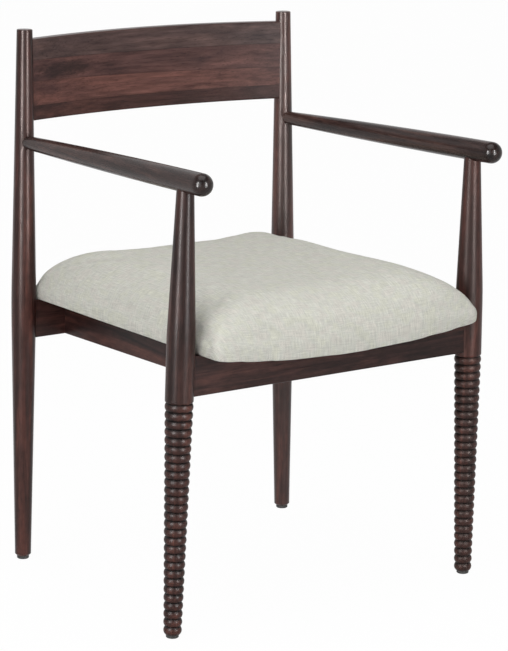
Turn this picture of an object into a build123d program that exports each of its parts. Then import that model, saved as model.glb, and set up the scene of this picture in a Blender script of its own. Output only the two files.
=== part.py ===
from build123d import *
from math import asin, atan, cos, degrees, hypot, radians, sin, sqrt, tan
import os

# Dining armchair, in millimetres. +Z is up and the front faces -Y. The origin is on the floor, under the
# middle of the chair's box. Left and right are the sitter's, so left is +X. Left pieces are modelled and
# the right ones are their mirror images.

# Stance of the legs
post_height = 813.0            # floor to the top of the rear posts
foot_depth = 428.8             # front foot axis to rear foot axis
front_foot_spacing = 542.2     # between the front foot axes
rear_foot_spacing = 500.2      # between the rear foot axes
front_leg_splay = 1.0          # degrees that a front leg leans inwards
rear_post_splay = 0.67         # degrees that a rear post leans inwards
rear_post_rake = 0.97          # degrees that a rear post leans back

# Joints
joint_gap = 0.1                # glue line around every tenon, dowel and coped end
hole_end_gap = 1.0             # room left at the bottom of a blind hole

# Foot glides
glide_height = 5.0
glide_diameter = 18.5
glide_edge = 1.0               # bevel round the floor face
glide_nail_diameter = 3.0
glide_nail_length = 16.0

# Front legs
ring_count = 28
ring_top_diameter = 40.8       # over the highest bead
ring_bottom_diameter = 26.2    # over the lowest bead
ring_groove_depth = 2.6
ring_stop_gap = 7.0            # plain leg between the rings and the front rail
barrel_diameter = 40.5
barrel_length = 97.0           # plain stretch above the rings
barrel_lip = 3.0               # rounding at the foot of the barrel
barrel_blend = 900.0           # radius that eases the barrel into the taper
leg_top_diameter = 23.8        # at the axis of the arm
leg_tenon_diameter = 16.0
leg_tenon_rise = 6.0           # tenon above the axis of the arm
leg_tenon_root = 40.0          # tenon below the axis of the arm

# Rear posts
post_foot_diameter = 24.6
post_foot_bevel = 2.6
post_waist_diameter = 38.0
post_waist_height = 400.0
post_top_diameter = 23.5
post_blend = 2000.0            # radius that eases the two tapers at the waist
post_top_edge = 1.3

# Crest rail
crest_drop = 15.5              # top of the posts to the ends of the crest
crest_height = 121.5           # at the ends
crest_crown = 2.6              # rise of the top in the middle
crest_arch = 0.8               # rise of the bottom in the middle
crest_thickness = 18.0
crest_bow = 26.0               # how far the middle lies behind the posts
crest_edge = 2.2
crest_dowel_diameter = 8.0
crest_dowel_length = 32.0
crest_dowel_bite = 14.0        # part of the dowel in the post
crest_dowel_margin = 26.0      # dowel to the edge of the crest

# Arms
arm_drop = 31.0                # bottom of the crest to the axis of the arm, at the post
arm_rise = 10.4                # how much higher the arm is at the front leg
arm_overhang = 39.7            # front leg axis to the centre of the rounded nose
arm_rear_diameter = 19.5
arm_middle_diameter = 29.2
arm_nose_diameter = 32.2
arm_tenon_diameter = 12.0
arm_tenon_bite = 20.0          # part of the tenon in the post
arm_tenon_root = 18.0          # part of the tenon in the arm

# Seat frame. The hollow in the top of its rails falls a little to the rear.
front_rail_bottom = 350.1      # above the floor, at the front legs
rear_rail_drop = 2.6           # bottom of the rear rail below that of the front rail, along the fall
seat_pitch = 0.2               # degrees that the seat falls to the rear
rail_middle_height = 41.0      # of the front and rear rails at the centre line
seat_dish_radius = 1660.0      # hollow of the rails and the seat from side to side
front_rail_thickness = 20.5
rear_rail_thickness = 20.0
side_rail_thickness = 20.0
side_rail_spacing = 356.0      # over the outer faces of the side rails
rail_edge = 1.6
rail_dowel_diameter = 10.0
rail_dowel_length = 40.0
rail_dowel_margin = 14.0       # dowel to the edge of a rail
side_dowel_bite = 12.0         # part of a side rail's dowel in the front or rear rail

# Corner blocks and screws
block_leg = 60.0               # along each rail
block_corner = 8.0             # cut off where the rails meet
block_rise = 12.0              # bottom of the rails to the bottom of the blocks
block_top_gap = 1.5            # below the hollow's lowest line
screw_diameter = 4.0
screw_head_diameter = 8.0
screw_head_height = 2.6
screw_pocket_diameter = 10.0
screw_offset = 36.0            # block screw from the corner of the rails
screw_cover = 15.0             # block under a block screw's head
screw_bite = 13.0              # block screw in the rail
seat_screw_offset = 16.0       # seat screw from the rails, both ways
seat_screw_bite = 9.0          # seat screw in the base

# Seat
seat_leg_gap = 4.5             # seat to the front leg, each side
seat_post_gap = 1.0            # seat to the rear post, each side
seat_front_overhang = 54.0     # front leg axis to the front of the seat
seat_rear_inset = 3.0          # back of the rear rail to the back of the seat
seat_thickness = 79.5
seat_side_height = 36.0        # upright part of the sides
seat_shoulder = 85.0           # width of the rounding along the sides
seat_fullness = 0.66           # of that rounding: 0.71 is a quarter ellipse, 0.5 a bevel
seat_front_roll = 80.0         # length of the rounding at the front
seat_rear_roll = 60.0          # length of the rounding at the rear
seat_corner = 23.0             # corners in plan
seat_belly = 4.0               # how far the sides draw in at the bottom
base_thickness = 12.0
cover_thickness = 1.5
cover_turn_under = 28.0        # cover stapled under the base
dust_cover_thickness = 0.8
dust_cover_inset = 10.0        # edge of the seat to the edge of the dust cover
staple_length = 10.0
staple_width = 1.3
staple_thickness = 0.6
staple_pitch = 42.0
staple_inset = 5.0             # edge of the dust cover to the staples

# Places that follow from the sizes
crest_end_top = post_height - crest_drop
crest_middle = crest_end_top - crest_height / 2
arm_rear_height = crest_end_top - crest_height - arm_drop
arm_front_height = arm_rear_height + arm_rise
front_reach = max(seat_front_overhang, arm_overhang + arm_nose_diameter / 2)
rear_reach = crest_end_top * tan(radians(rear_post_rake)) + crest_bow + crest_thickness / 2
front_foot_y = front_reach - (front_reach + foot_depth + rear_reach) / 2
rear_foot_y = front_foot_y + foot_depth
ring_zone_top = front_rail_bottom - ring_stop_gap
ring_pitch = (ring_zone_top - glide_height) / ring_count


def leg_axis(height):
    lean = height * tan(radians(front_leg_splay))
    return Vector(front_foot_spacing / 2 - lean, front_foot_y, height)


def post_axis(height):
    lean_in = height * tan(radians(rear_post_splay))
    lean_back = height * tan(radians(rear_post_rake))
    return Vector(rear_foot_spacing / 2 - lean_in, rear_foot_y + lean_back, height)


def post_radius(height):
    foot, waist, top = post_foot_diameter / 2, post_waist_diameter / 2, post_top_diameter / 2
    if height < post_waist_height:
        return foot + (waist - foot) * height / post_waist_height
    return waist + (top - waist) * (height - post_waist_height) / (post_height - post_waist_height)


# Frames of the sloping pieces: +Z along the leg, the post or the arm, and the pitched seat frame, whose
# origin is under the front rail on the centre line
leg_frame = Plane(leg_axis(0), x_dir=(1, 0, 0), z_dir=leg_axis(1) - leg_axis(0)).location
post_frame = Plane(post_axis(0), x_dir=(1, 0, 0), z_dir=post_axis(1) - post_axis(0)).location
arm_run = leg_axis(arm_front_height) - post_axis(arm_rear_height)
arm_frame = Plane(post_axis(arm_rear_height), x_dir=(1, 0, 0), z_dir=arm_run).location
pitch = radians(seat_pitch)
seat_origin = (0, front_foot_y, front_rail_bottom)
seat_frame = Plane(seat_origin, x_dir=(1, 0, 0), z_dir=(0, sin(pitch), cos(pitch))).location

# Places in the seat frame: distances behind the front leg axis and heights above the bottom of the rails
front_rail_back = front_rail_thickness / 2
rear_rail_height = front_rail_bottom - foot_depth * tan(pitch) + rail_middle_height / 2
post_distance = post_axis(rear_rail_height).Y - front_foot_y
rear_rail_middle = post_distance / cos(pitch) - rail_middle_height / 2 * tan(pitch)
rear_rail_front = rear_rail_middle - rear_rail_thickness / 2
leg_x = leg_axis(front_rail_bottom).X
post_x = post_axis(rear_rail_height).X
seat_front = -seat_front_overhang
seat_rear = rear_rail_middle + rear_rail_thickness / 2 - seat_rear_inset
side_rail_inner = side_rail_spacing / 2 - side_rail_thickness
block_top = rail_middle_height - dust_cover_thickness - block_top_gap
above_rails = rail_middle_height + seat_thickness


def dish(x, lift=0.0):
    # height of the hollow above the bottom of the rails, or of a surface that lies parallel over it
    radius = seat_dish_radius - lift
    return rail_middle_height + lift + radius - sqrt(radius**2 - x**2)


def both_sides(solid):
    return {"left": solid, "right": mirror(solid, Plane.YZ)}


def bar(start, end, diameter):
    # round bar from one point to another
    run = Vector(*end) - Vector(*start)
    place = Plane(start, z_dir=run).location
    return place * Cylinder(diameter / 2, run.length, align=(Align.CENTER, Align.CENTER, Align.MIN))


def turned(outline):
    # outline in radius and distance along the axis, closed along the axis
    return revolve(Plane.XZ * make_face(outline), Axis.Z)


def standing_foot(foot, solid):
    # foot cut level, so that the glide lies flat against it
    reach = post_height
    ground = Pos(foot.X, foot.Y, glide_height) * Box(
        reach, reach, reach, align=(Align.CENTER, Align.CENTER, Align.MAX)
    )
    nail_end = Vector(foot.X, foot.Y, glide_height + glide_nail_length + hole_end_gap)
    return solid - ground - bar(foot, nail_end, glide_nail_diameter + 2 * joint_gap)


def ring_radius(height):
    share = (height - glide_height) / (ring_zone_top - glide_height)
    return (ring_bottom_diameter + (ring_top_diameter - ring_bottom_diameter) * share) / 2


def leg_blank(grow=0.0):
    # beads from the floor up, the barrel, and the taper that ends at the axis of the arm
    groove = [glide_height + i * ring_pitch for i in range(ring_count + 1)]
    groove_radius = [ring_radius(z) - ring_groove_depth + grow for z in groove]
    barrel = barrel_diameter / 2 + grow
    lip_top = ring_zone_top + barrel_lip
    top = (leg_axis(arm_front_height) - leg_axis(0)).length
    outline = [Polyline((0, 0), (groove_radius[0], 0), (groove_radius[0], groove[0]))]
    for i in range(ring_count):
        middle = (groove[i] + groove[i + 1]) / 2
        crest = (ring_radius(middle) + grow, middle)
        below, above = (groove_radius[i], groove[i]), (groove_radius[i + 1], groove[i + 1])
        outline.append(ThreePointArc(below, crest, above))
    outline.append(TangentArc((barrel, lip_top), (groove_radius[-1], ring_zone_top), tangent=(0, -1)))
    taper = [(barrel, lip_top), (barrel, ring_zone_top + barrel_length), (leg_top_diameter / 2 + grow, top)]
    outline.append(FilletPolyline(*taper, radius=barrel_blend))
    outline.append(Polyline(taper[-1], (0, top), (0, 0)))
    return leg_frame * turned(outline)


def post_blank(grow=0.0):
    # two tapers that meet at the waist
    foot, waist, top = [d / 2 + grow for d in (post_foot_diameter, post_waist_diameter, post_top_diameter)]
    bevel_top = glide_height + post_foot_bevel
    bottom = (foot - post_foot_bevel, glide_height)
    taper = [(foot, bevel_top), (waist, post_waist_height), (top, post_height)]
    outline = [
        Polyline((0, 0), (bottom[0], 0), bottom, taper[0]),
        FilletPolyline(*taper, radius=post_blend),
        Polyline(taper[-1], (0, post_height), (0, 0)),
    ]
    blank = turned(outline)
    return post_frame * fillet(blank.edges().sort_by(Axis.Z)[-1], post_top_edge)


def arm_blank(grow=0.0):
    # one long swelling curve from the post to the nose, and a round nose
    rear, middle, nose = [d / 2 + grow for d in (arm_rear_diameter, arm_middle_diameter, arm_nose_diameter)]
    length = arm_run.length + arm_overhang
    pull = 2 * middle - (rear + nose) / 2
    nose_share = nose * sqrt(0.5)
    outline = [
        Bezier((rear, 0), (pull, length / 2), (nose, length)),
        ThreePointArc((nose, length), (nose_share, length + nose_share), (0, length + nose)),
        Polyline((0, length + nose), (0, 0), (rear, 0)),
    ]
    return arm_frame * turned(outline)


# Axes of the tenons, which the tenons and their holes share
leg_up = (leg_axis(1) - leg_axis(0)).normalized()
leg_tenon = (
    leg_axis(arm_front_height) - leg_up * leg_tenon_root,
    leg_axis(arm_front_height) + leg_up * leg_tenon_rise,
)
arm_forward = arm_run.normalized()
arm_seat_radius = post_radius(arm_rear_height)
arm_tenon = (
    post_axis(arm_rear_height) + arm_forward * (arm_seat_radius - arm_tenon_bite),
    post_axis(arm_rear_height) + arm_forward * (arm_seat_radius + arm_tenon_root),
)

# Dowels of the left half, each as its two ends. Those of the crest run in line with its bowed ends.
crest_end_x = post_axis(crest_middle).X
crest_bow_radius = (crest_end_x**2 + crest_bow**2) / (2 * crest_bow)
crest_end_turn = asin(crest_end_x / crest_bow_radius)
crest_inward = Vector(-cos(crest_end_turn), sin(crest_end_turn), 0)
crest_dowels = []
for crest_dowel_height in (
    crest_end_top - crest_height + crest_dowel_margin,
    crest_end_top - crest_dowel_margin,
):
    past_axis = crest_dowel_bite - post_radius(crest_dowel_height)
    deep = post_axis(crest_dowel_height) - crest_inward * past_axis
    crest_dowels.append((deep, deep + crest_inward * crest_dowel_length))


def rail_dowels(end_x, distance_back, rail_end):
    # two dowels through a rail's end at rail_end, half their length in the leg, in the seat frame
    ends = []
    for height in (rail_dowel_margin, dish(end_x) - rail_dowel_margin):
        inner = Vector(rail_end - rail_dowel_length / 2, distance_back, height)
        ends.append((inner, inner + Vector(rail_dowel_length, 0, 0)))
    return ends


front_dowels = rail_dowels(leg_x, 0, leg_x - barrel_diameter / 2)
rear_dowels = rail_dowels(post_x, rear_rail_middle, post_x - post_radius(rear_rail_height))
side_dowels = []
side_rail_middle = side_rail_spacing / 2 - side_rail_thickness / 2
for side_dowel_height in (rail_dowel_margin, dish(side_rail_inner) - rail_dowel_margin):
    for rail_face, backwards in ((front_rail_back, 1), (rear_rail_front, -1)):
        deep = Vector(side_rail_middle, rail_face - backwards * side_dowel_bite, side_dowel_height)
        side_dowels.append((deep, deep + Vector(0, backwards * rail_dowel_length, 0)))


def mirrored(ends):
    # the same lines on both sides of the chair
    return ends + [(Vector(-a.X, a.Y, a.Z), Vector(-b.X, b.Y, b.Z)) for a, b in ends]


def dowel_group(ends, diameter):
    return [bar(a, b, diameter) for a, b in ends]


def dowel_holes(ends, diameter):
    holes = []
    for a, b in ends:
        over = (b - a).normalized() * hole_end_gap
        holes.append(bar(a - over, b + over, diameter + 2 * joint_gap))
    return holes


# Solids that trim the seat: everything below the hollow, raised by lift, in the seat frame
def below_dish(lift):
    half = front_foot_spacing / 2
    depth = post_height / 2
    edge = dish(half, lift)
    outline = [
        ThreePointArc((-half, edge), (0, dish(0, lift)), (half, edge)),
        Polyline((half, edge), (half, -depth), (-half, -depth), (-half, edge)),
    ]
    length = 2 * (seat_rear - seat_front)
    return Pos(0, (seat_rear + seat_front + length) / 2, 0) * extrude(Plane.XZ * make_face(outline), length)


under_dust_cover = below_dish(-dust_cover_thickness)
under_seat = below_dish(0)


def cross_rail(half_length, distance_back, thickness, drop):
    # board from leg to leg, hollowed along its top
    blank = Pos(0, distance_back, -drop) * Box(
        2 * half_length, thickness, above_rails + drop, align=(Align.CENTER, Align.CENTER, Align.MIN)
    )
    bottom_edges = blank.edges().filter_by(Axis.X).group_by(Axis.Z)[0]
    return fillet(bottom_edges, rail_edge) & under_dust_cover


def side_rail_blank():
    # board from the front rail to the rear rail, its bottom level with theirs
    front, rear = front_rail_back, rear_rail_front
    top = above_rails
    outline = Polyline((front, 0), (rear, -rear_rail_drop), (rear, top), (front, top), close=True)
    blank = Pos(side_rail_inner, 0, 0) * extrude(Plane.YZ * make_face(outline), side_rail_thickness)
    long_edges = [edge for edge in blank.edges() if edge.length > (rear - front) / 2]
    bottom_edges = ShapeList(long_edges).sort_by(Axis.Z)[:2]
    return fillet(bottom_edges, rail_edge) & under_dust_cover


def screw(point, axis, length):
    # head with its flat face at the point, and a shank along the axis
    place = Plane(point, z_dir=axis).location
    shank = Cylinder(screw_diameter / 2, length, align=(Align.CENTER, Align.CENTER, Align.MIN))
    head = Cylinder(
        screw_head_diameter / 2, screw_head_height, align=(Align.CENTER, Align.CENTER, Align.MAX)
    )
    head = fillet(head.edges().sort_by(Axis.Z)[0], screw_head_height / 3)
    return place * (shank + head)


def screw_hole(point, axis, length):
    end = point + axis * (length + hole_end_gap)
    return bar(point, end, screw_diameter + 2 * joint_gap)


def corner(rail_face, backwards):
    # a left corner of the seat frame: the block, its two screws and the seat screw, with their holes.
    # backwards is 1 behind the front rail and -1 before the rear rail.
    start = Vector(side_rail_inner, rail_face, 0)
    along = Vector(-1, 0, 0)
    across = Vector(0, backwards, 0)
    up = Vector(0, 0, 1)
    outline = [
        start + along * block_corner,
        start + along * block_leg,
        start + across * block_leg,
        start + across * block_corner,
    ]
    height = block_top - block_rise
    block = Pos(0, 0, block_rise) * extrude(make_face(Polyline(*outline, close=True)), height, dir=up)
    halfway = start + up * (block_rise + height / 2)
    to_rail = halfway + along * screw_offset + across * screw_cover
    to_side = halfway + along * screw_cover + across * screw_offset
    to_seat = start + up * block_rise + (along + across) * seat_screw_offset
    shank = screw_cover + screw_bite
    seat_shank = dish(to_seat.X) + cover_thickness + seat_screw_bite - block_rise
    runs = {
        "rail": (to_rail, -across, shank),
        "side": (to_side, -along, shank),
        "seat": (to_seat, up, seat_shank),
    }
    holes = {name: screw_hole(*run) for name, run in runs.items()}
    pockets = [
        bar(to_rail, to_rail + across * block_leg, screw_pocket_diameter),
        bar(to_side, to_side + along * block_leg, screw_pocket_diameter),
    ]
    return {
        "block": block - list(holes.values()) - pockets,
        "block_screws": [screw(*runs["rail"]), screw(*runs["side"])],
        "seat_screw": screw(*runs["seat"]),
        "holes": holes,
    }


corners = {"front": corner(front_rail_back, 1), "rear": corner(rear_rail_front, -1)}


def across_chair(solids):
    # the given solids and their mirror images
    return list(solids) + [mirror(solid, Plane.YZ) for solid in solids]


# Seat: half width in plan, which narrows from the legs to the posts
seat_front_half = leg_axis(front_rail_bottom + rail_middle_height).X - barrel_diameter / 2 - seat_leg_gap
seat_rear_half = post_x - post_radius(rear_rail_height) - seat_post_gap


def seat_half_width(distance_back):
    share = (distance_back - seat_front) / (seat_rear - seat_front)
    return seat_front_half + (seat_rear_half - seat_front_half) * share


def seat_section(distance_back, from_end, turn, skin):
    # upright section of the padded seat, drawn inside the skin. from_end is the distance from the nearest
    # end, and turn is how far the rounding there has risen: 0 at the end, 1 past the rounding.
    half = seat_half_width(distance_back) - skin
    corner_run = max(0.0, 1 - from_end / seat_corner)
    half -= seat_corner * (1 - sqrt(1 - corner_run**2))
    side = seat_side_height * (1 + turn) / 2
    top = seat_side_height + (seat_thickness - skin - seat_side_height) * turn
    shoulder = seat_shoulder * (1 + 3 * turn) / 4
    bottom_lift = (seat_belly if from_end == 0 else -seat_belly) + skin
    points = {
        "bottom": (half - seat_belly, bottom_lift),
        "belly": (half, side / 2),
        "side": (half - seat_belly / 3, side),
        "round": (half - shoulder * (1 - seat_fullness), side + (top - side) * seat_fullness),
        "top": (half - shoulder, top),
    }
    right = {name: (x, dish(x) + lift) for name, (x, lift) in points.items()}
    left = {name: (-x, z) for name, (x, z) in right.items()}
    outline = [
        ThreePointArc(left["bottom"], (0, dish(0) + bottom_lift), right["bottom"]),
        ThreePointArc(right["bottom"], right["belly"], right["side"]),
        ThreePointArc(right["side"], right["round"], right["top"]),
        ThreePointArc(right["top"], (0, dish(0) + top), left["top"]),
        ThreePointArc(left["top"], left["round"], left["side"]),
        ThreePointArc(left["side"], left["belly"], left["bottom"]),
    ]
    return Pos(0, distance_back, 0) * (Plane.XZ * make_face(outline))


def padded_seat(skin):
    # sections follow a quarter ellipse at each end, and stand level between them
    angles = (0, 20, 40, 62, 90)
    sections = []
    for angle in angles:
        from_end = seat_front_roll * (1 - cos(radians(angle)))
        sections.append(seat_section(seat_front + skin + from_end, from_end, sin(radians(angle)), skin))
    for angle in reversed(angles):
        from_end = seat_rear_roll * (1 - cos(radians(angle)))
        sections.append(seat_section(seat_rear - skin - from_end, from_end, sin(radians(angle)), skin))
    return loft(sections)


def seat_plan(inset):
    # upright block with the seat's outline in plan, drawn in by inset
    front, rear = seat_front + inset, seat_rear - inset
    front_half = seat_half_width(front) - inset
    rear_half = seat_half_width(rear) - inset
    front_edge = [(-front_half, front), (front_half, front)]
    rear_edge = [(rear_half, rear), (-rear_half, rear)]
    outline = make_face(Polyline(*front_edge, *rear_edge, close=True))
    outline = fillet(outline.vertices(), seat_corner)
    return extrude(outline, above_rails)


def staple(x, distance_back, along_side):
    # crown of a staple, flat against the dust cover
    length, width = (staple_width, staple_length) if along_side else (staple_length, staple_width)
    slope = degrees(atan(x / sqrt(seat_dish_radius**2 - x**2)))
    place = Pos(x, distance_back, dish(x, -dust_cover_thickness)) * Rot(0, -slope, 0)
    return place * Box(length, width, staple_thickness, align=(Align.CENTER, Align.CENTER, Align.MAX))


def staple_row(start, end):
    # staples at an even pitch between two points of the plan, none on a rail
    run = hypot(end[0] - start[0], end[1] - start[1])
    steps = max(2, round(run / staple_pitch))
    along_side = abs(end[1] - start[1]) > abs(end[0] - start[0])
    row = []
    for i in range(1, steps):
        x = start[0] + (end[0] - start[0]) * i / steps
        distance_back = start[1] + (end[1] - start[1]) * i / steps
        clear = staple_length
        on_front_rail = abs(distance_back) < front_rail_thickness / 2 + clear
        on_rear_rail = abs(distance_back - rear_rail_middle) < rear_rail_thickness / 2 + clear
        on_side_rail = abs(abs(x) - side_rail_middle) < side_rail_thickness / 2 + clear
        if not (on_front_rail or on_rear_rail or (on_side_rail and distance_back > 0)):
            row.append(staple(x, distance_back, along_side))
    return row


def staple_rows():
    inset = seat_belly + dust_cover_inset + staple_inset
    front = seat_front + inset
    rear = rear_rail_front - 2 * staple_length
    corners_in_plan = [
        (-seat_half_width(front) + inset, front),
        (seat_half_width(front) - inset, front),
        (seat_half_width(rear) - inset, rear),
        (-seat_half_width(rear) + inset, rear),
    ]
    rows = []
    for i in range(4):
        rows += staple_row(corners_in_plan[i], corners_in_plan[(i + 1) % 4])
    return rows


def glide(foot):
    disc = Pos(foot.X, foot.Y, 0) * Cylinder(
        glide_diameter / 2, glide_height, align=(Align.CENTER, Align.CENTER, Align.MIN)
    )
    disc = chamfer(disc.edges().sort_by(Axis.Z)[0], glide_edge)
    return disc + bar(foot, foot + Vector(0, 0, glide_height + glide_nail_length), glide_nail_diameter)


def crest_rail():
    # bowed board with a crowned top and an arched bottom, coped to the posts at its ends
    end_x = crest_end_x
    bottom, top = -crest_height / 2, crest_height / 2
    ring = Circle(crest_bow_radius + crest_thickness / 2) - Circle(crest_bow_radius - crest_thickness / 2)
    window = Rectangle(2 * end_x, 2 * (crest_bow + crest_thickness))
    plan = (Pos(0, crest_bow - crest_bow_radius) * ring) & window
    board = Pos(0, 0, bottom - crest_crown) * extrude(plan, crest_height + 3 * crest_crown)
    elevation = make_face(
        [
            Line((end_x, top), (end_x, bottom)),
            ThreePointArc((end_x, bottom), (0, bottom + crest_arch), (-end_x, bottom)),
            Line((-end_x, bottom), (-end_x, top)),
            ThreePointArc((-end_x, top), (0, top + crest_crown), (end_x, top)),
        ]
    )
    deep = 4 * (crest_bow + crest_thickness)
    board = board & Pos(0, deep / 2, 0) * extrude(Plane.XZ * elevation, deep)
    long_edges = [edge for edge in board.edges() if edge.length > end_x]
    board = fillet(long_edges, crest_edge)
    lean = (0, sin(radians(rear_post_rake)), cos(radians(rear_post_rake)))
    place = Plane((0, post_axis(crest_middle).Y, crest_middle), x_dir=(1, 0, 0), z_dir=lean).location
    posts = across_chair([post_blank(joint_gap)])
    return place * board - posts - dowel_holes(mirrored(crest_dowels), crest_dowel_diameter)


def front_leg():
    blank = leg_blank() - arm_blank(joint_gap)
    leg = standing_foot(leg_axis(0), blank + bar(*leg_tenon, leg_tenon_diameter))
    holes = [seat_frame * hole for hole in dowel_holes(front_dowels, rail_dowel_diameter)]
    return leg - holes


def rear_post():
    arm_hole = dowel_holes([arm_tenon], arm_tenon_diameter)
    crest_holes = dowel_holes(crest_dowels, crest_dowel_diameter)
    rail_holes = [seat_frame * hole for hole in dowel_holes(rear_dowels, rail_dowel_diameter)]
    return standing_foot(post_axis(0), post_blank()) - arm_hole - crest_holes - rail_holes


def arm():
    coped = arm_blank() - post_blank(joint_gap) + bar(*arm_tenon, arm_tenon_diameter)
    return coped - dowel_holes([leg_tenon], leg_tenon_diameter)


def front_rail():
    holes = dowel_holes(mirrored(front_dowels) + mirrored(side_dowels), rail_dowel_diameter)
    screws = across_chair([corners["front"]["holes"]["rail"]])
    rail = seat_frame * (cross_rail(leg_x, 0, front_rail_thickness, 0) - holes - screws)
    return rail - across_chair([leg_blank(joint_gap)])


def rear_rail():
    holes = dowel_holes(mirrored(rear_dowels) + mirrored(side_dowels), rail_dowel_diameter)
    screws = across_chair([corners["rear"]["holes"]["rail"]])
    blank = cross_rail(post_x, rear_rail_middle, rear_rail_thickness, rear_rail_drop)
    rail = seat_frame * (blank - holes - screws)
    return rail - across_chair([post_blank(joint_gap)])


def side_rail():
    screws = [corners[end]["holes"]["side"] for end in corners]
    return seat_frame * (side_rail_blank() - dowel_holes(side_dowels, rail_dowel_diameter) - screws)


def seat_pieces():
    # cover, foam and base share one padded form, cut by surfaces parallel to the hollow
    outside = padded_seat(0) - under_seat
    inside = padded_seat(cover_thickness) - below_dish(cover_thickness)
    above_base = below_dish(cover_thickness + base_thickness)
    opening = seat_plan(seat_belly + cover_turn_under)
    seat_screw_holes = across_chair([corners[end]["holes"]["seat"] for end in corners])
    sheet = seat_plan(seat_belly + dust_cover_inset) & under_seat
    return {
        "seat_cover": outside - inside - (opening & above_base) - seat_screw_holes,
        "seat_foam": inside - above_base,
        "seat_base": (inside & above_base) - seat_screw_holes,
        "dust_cover": sheet - under_dust_cover - seat_screw_holes,
    }


nodes = {}
for side, solid in both_sides(front_leg()).items():
    nodes[f"front_leg_{side}"] = solid
for side, solid in both_sides(rear_post()).items():
    nodes[f"rear_post_{side}"] = solid
for side, solid in both_sides(arm()).items():
    nodes[f"arm_{side}"] = solid
nodes["crest_rail"] = crest_rail()
nodes["front_rail"] = front_rail()
nodes["rear_rail"] = rear_rail()
for side, solid in both_sides(side_rail()).items():
    nodes[f"side_rail_{side}"] = solid
for end, pieces in corners.items():
    for side, solid in both_sides(seat_frame * pieces["block"]).items():
        nodes[f"corner_block_{end}_{side}"] = solid
for name, solid in seat_pieces().items():
    nodes[name] = seat_frame * solid
for end, foot in (("front", leg_axis(0)), ("rear", post_axis(0))):
    for side, solid in both_sides(glide(foot)).items():
        nodes[f"glide_{end}_{side}"] = solid

block_screws = [solid for pieces in corners.values() for solid in pieces["block_screws"]]
seat_screws = [pieces["seat_screw"] for pieces in corners.values()]
groups = {
    "crest_dowels": dowel_group(mirrored(crest_dowels), crest_dowel_diameter),
    "front_rail_dowels": [seat_frame * d for d in dowel_group(mirrored(front_dowels), rail_dowel_diameter)],
    "rear_rail_dowels": [seat_frame * d for d in dowel_group(mirrored(rear_dowels), rail_dowel_diameter)],
    "side_rail_dowels": [seat_frame * d for d in dowel_group(mirrored(side_dowels), rail_dowel_diameter)],
    "corner_block_screws": [seat_frame * s for s in across_chair(block_screws)],
    "seat_screws": [seat_frame * s for s in across_chair(seat_screws)],
    "dust_cover_staples": [seat_frame * s for s in staple_rows()],
}
for name, solids in groups.items():
    nodes[name] = Compound(children=solids)

os.makedirs("parts", exist_ok=True)
for name, solid in nodes.items():
    export_step(solid, f"parts/{name}.step")
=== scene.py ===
import bpy
import numpy as np
from mathutils import Matrix, Vector


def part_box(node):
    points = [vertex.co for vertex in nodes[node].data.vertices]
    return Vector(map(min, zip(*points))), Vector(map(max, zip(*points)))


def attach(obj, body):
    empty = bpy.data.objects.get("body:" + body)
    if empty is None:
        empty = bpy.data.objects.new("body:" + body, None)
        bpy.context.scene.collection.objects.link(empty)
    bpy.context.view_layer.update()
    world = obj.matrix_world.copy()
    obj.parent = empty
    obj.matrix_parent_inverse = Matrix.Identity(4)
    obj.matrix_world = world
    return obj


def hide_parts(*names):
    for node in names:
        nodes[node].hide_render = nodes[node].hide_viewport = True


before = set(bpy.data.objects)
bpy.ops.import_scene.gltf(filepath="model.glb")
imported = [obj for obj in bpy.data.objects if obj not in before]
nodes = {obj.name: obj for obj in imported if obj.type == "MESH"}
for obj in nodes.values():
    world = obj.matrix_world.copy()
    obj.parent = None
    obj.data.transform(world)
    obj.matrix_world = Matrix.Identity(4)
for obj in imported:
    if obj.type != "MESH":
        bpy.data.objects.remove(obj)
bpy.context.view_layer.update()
scene = bpy.context.scene
scene.view_settings.view_transform = "Standard"
print("frame loaded,", len(nodes), "nodes")


# Node and mesh helpers

def add(tree, kind, feeds=None, **attributes):
    item = tree.nodes.new(kind)
    for key, value in attributes.items():
        setattr(item, key, value)
    for key, value in (feeds or {}).items():
        if isinstance(value, bpy.types.NodeSocket):
            tree.links.new(value, item.inputs[key])
        else:
            item.inputs[key].default_value = value
    return item


def math(tree, operation, first, second=0.0, third=0.0):
    feeds = {0: first, 1: second, 2: third}
    return add(tree, "ShaderNodeMath", feeds, operation=operation).outputs[0]


def remap(tree, value, low, high, toLow, toHigh):
    feeds = {"Value": value, "From Min": low, "From Max": high, "To Min": toLow, "To Max": toHigh}
    return add(tree, "ShaderNodeMapRange", feeds).outputs["Result"]


def noise(tree, vector, detail=2.0, roughness=0.5, distortion=0.0, scale=1.0):
    feeds = {"Vector": vector, "Scale": scale, "Detail": detail, "Roughness": roughness,
             "Distortion": distortion}
    return add(tree, "ShaderNodeTexNoise", feeds).outputs["Fac"]


def ramp(tree, value, stops, interpolation="LINEAR"):
    item = add(tree, "ShaderNodeValToRGB", {"Fac": value})
    item.color_ramp.interpolation = interpolation
    points = item.color_ramp.elements
    stops = list(stops)
    while len(points) < len(stops):
        points.new(0.5)
    for point, (position, colour) in zip(points, stops):
        point.position = position
        point.color = (*colour, 1.0)
    return item.outputs["Color"]


def mixColour(tree, share, first, second, blend="MIX"):
    item = add(tree, "ShaderNodeMix", data_type="RGBA", blend_type=blend)
    for key, value in ((0, share), (6, first), (7, second)):
        if isinstance(value, bpy.types.NodeSocket):
            tree.links.new(value, item.inputs[key])
        elif key == 0:
            item.inputs[key].default_value = value
        else:
            item.inputs[key].default_value = (*value, 1.0)
    return item.outputs[2]


def shaded(tree, colour, shade):
    # a colour times a colour, or times a number
    return mixColour(tree, 1.0, colour, shade, "MULTIPLY")


def vectorMath(tree, operation, first, second=(0.0, 0.0, 0.0)):
    return add(tree, "ShaderNodeVectorMath", {0: first, 1: second}, operation=operation).outputs


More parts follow.
